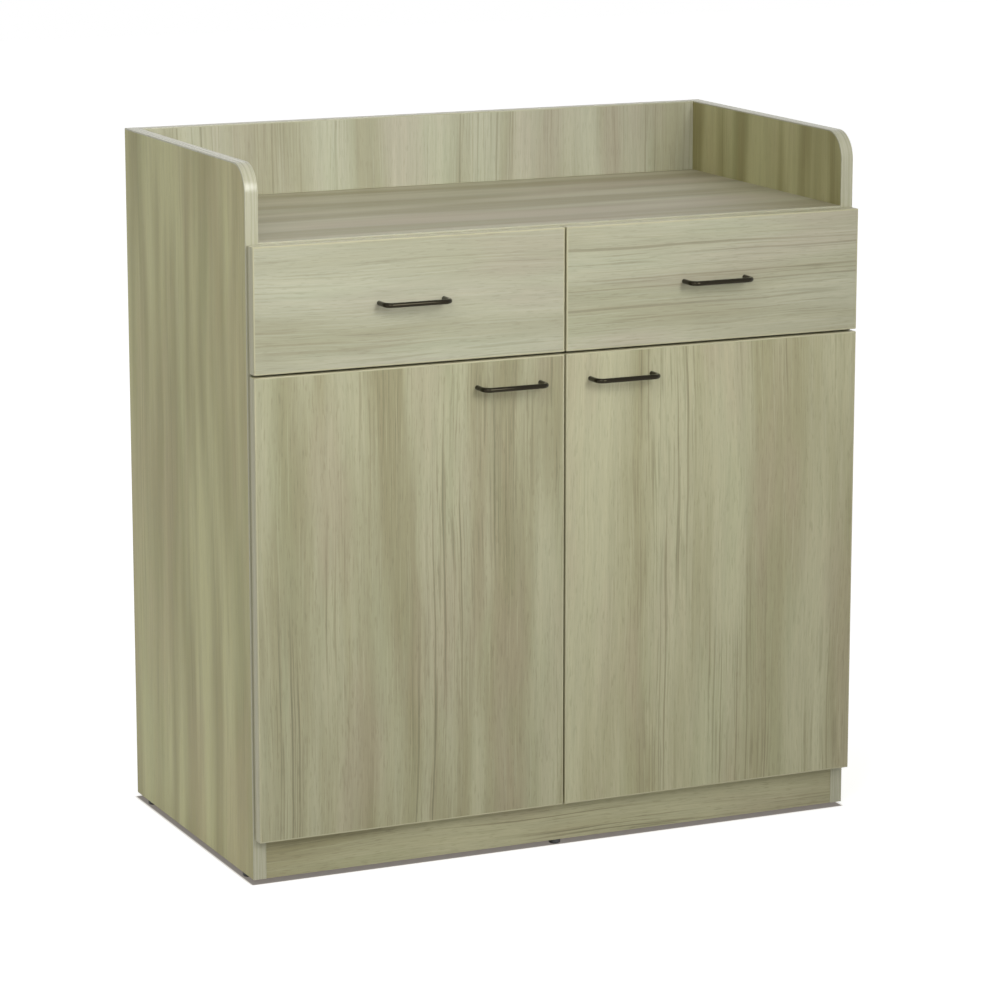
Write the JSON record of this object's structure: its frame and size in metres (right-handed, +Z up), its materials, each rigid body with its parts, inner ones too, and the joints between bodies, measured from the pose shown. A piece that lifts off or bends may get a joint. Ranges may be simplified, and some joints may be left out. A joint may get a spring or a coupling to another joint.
{
  "type": "waiter service station",
  "caption": "Waiter service station: laminated cabinet with a worktop inside a raised gallery, drawers on ball-bearing slides, and cupboard doors with adjustable shelves behind.",
  "frame": {"origin": "on the floor, under the middle of the overall box, with doors and drawers shut", "axes": "+X to the right along the front, +Y from the front to the back, +Z up"},
  "size_m": [0.93, 0.532, 1],
  "materials": {
    "laminate": "satin",
    "edging": "satin",
    "box_board": "matte",
    "beech": "matte",
    "handle_metal": "gloss",
    "nickel": "satin",
    "zinc": "satin",
    "slide_steel": "satin",
    "black_plastic": "matte",
    "clear_rubber": "matte"
  },
  "bodies": {
    "cabinet": {"side_panel_left": "laminate", "side_panel_right": "laminate", "back_panel": "laminate", "worktop": "laminate", "base_panel": "laminate", "plinth": "laminate", "centre_partition": "laminate", "divider_shelf_left": "laminate", "divider_shelf_right": "laminate", "adjustable_shelf_left": "laminate", "adjustable_shelf_right": "laminate", "side_edging_left": "edging", "side_edging_right": "edging", "worktop_edging": "edging", "back_edging": "edging", "inner_edging_strips": "edging", "shelf_pins": "zinc", "floor_glides": "black_plastic", "cam_locks": "zinc", "cam_bolts": "zinc", "dowels": "beech", "hinge_plates": "nickel", "hinge_arms": "nickel", "hinge_screws": "nickel", "slide_cabinet_members": "slide_steel", "slide_screws": "zinc"},
    "outer_links_left": {"outer_hinge_links_left": "nickel"},
    "inner_links_left": {"inner_hinge_links_left": "nickel"},
    "door_left": {"door_panel_left": "laminate", "door_edging_left": "edging", "door_handle_left": "handle_metal", "hinge_cups_left": "nickel", "door_screws_left": "nickel", "door_bumpers_left": "clear_rubber"},
    "middle_slides_left": {"slide_middle_members_left": "slide_steel"},
    "drawer_left": {"drawer_front_left": "laminate", "drawer_front_edging_left": "edging", "drawer_handle_left": "handle_metal", "drawer_box_sides_left": "box_board", "drawer_box_ends_left": "box_board", "drawer_bottom_left": "box_board", "drawer_screws_left": "zinc", "slide_drawer_members_left": "slide_steel"},
    "outer_links_right": {"outer_hinge_links_right": "nickel"},
    "inner_links_right": {"inner_hinge_links_right": "nickel"},
    "door_right": {"door_panel_right": "laminate", "door_edging_right": "edging", "door_handle_right": "handle_metal", "hinge_cups_right": "nickel", "door_screws_right": "nickel", "door_bumpers_right": "clear_rubber"},
    "middle_slides_right": {"slide_middle_members_right": "slide_steel"},
    "drawer_right": {"drawer_front_right": "laminate", "drawer_front_edging_right": "edging", "drawer_handle_right": "handle_metal", "drawer_box_sides_right": "box_board", "drawer_box_ends_right": "box_board", "drawer_bottom_right": "box_board", "drawer_screws_right": "zinc", "slide_drawer_members_right": "slide_steel"}
  },
  "joints": [
    {"name": "outer_links_left_turn", "type": "hinge", "parent": "cabinet", "child": "outer_links_left", "pos_m": [-0.43815, -0.20812, 0.39], "axis": [0, 0, -1], "range_deg": [-43.1, 0.1]},
    {"name": "door_left_open", "type": "hinge", "parent": "outer_links_left", "child": "door_left", "pos_m": [-0.4534, -0.21924, 0.39], "axis": [0, 0, -1], "range_deg": [0, 143]},
    {"name": "inner_links_left_turn", "type": "hinge", "parent": "cabinet", "child": "inner_links_left", "pos_m": [-0.4303, -0.21779, 0.39], "axis": [0, 0, -1], "range_deg": [-46.9, 0.1]},
    {"name": "drawer_left_slide", "type": "slide", "parent": "cabinet", "child": "drawer_left", "axis": [0, -1, 0], "range_m": [0, 0.4]},
    {"name": "middle_slides_left_slide", "type": "slide", "parent": "cabinet", "child": "middle_slides_left", "axis": [0, -1, 0], "range_m": [0, 0.2]},
    {"name": "outer_links_right_turn", "type": "hinge", "parent": "cabinet", "child": "outer_links_right", "pos_m": [0.43815, -0.20812, 0.39], "axis": [0, 0, 1], "range_deg": [-43.1, 0.1]},
    {"name": "door_right_open", "type": "hinge", "parent": "outer_links_right", "child": "door_right", "pos_m": [0.4534, -0.21924, 0.39], "axis": [0, 0, 1], "range_deg": [0, 143]},
    {"name": "inner_links_right_turn", "type": "hinge", "parent": "cabinet", "child": "inner_links_right", "pos_m": [0.4303, -0.21779, 0.39], "axis": [0, 0, 1], "range_deg": [-46.9, 0.1]},
    {"name": "drawer_right_slide", "type": "slide", "parent": "cabinet", "child": "drawer_right", "axis": [0, -1, 0], "range_m": [0, 0.4]},
    {"name": "middle_slides_right_slide", "type": "slide", "parent": "cabinet", "child": "middle_slides_right", "axis": [0, -1, 0], "range_m": [0, 0.2]}
  ],
  "couplings": [
    {"joint": "outer_links_left_turn", "follows": "door_left_open", "ratio": -0.3007},
    {"joint": "inner_links_left_turn", "follows": "door_left_open", "ratio": -0.3271},
    {"joint": "middle_slides_left_slide", "follows": "drawer_left_slide", "ratio": 0.5},
    {"joint": "outer_links_right_turn", "follows": "door_right_open", "ratio": -0.3007},
    {"joint": "inner_links_right_turn", "follows": "door_right_open", "ratio": -0.3271},
    {"joint": "middle_slides_right_slide", "follows": "drawer_right_slide", "ratio": 0.5}
  ]
}
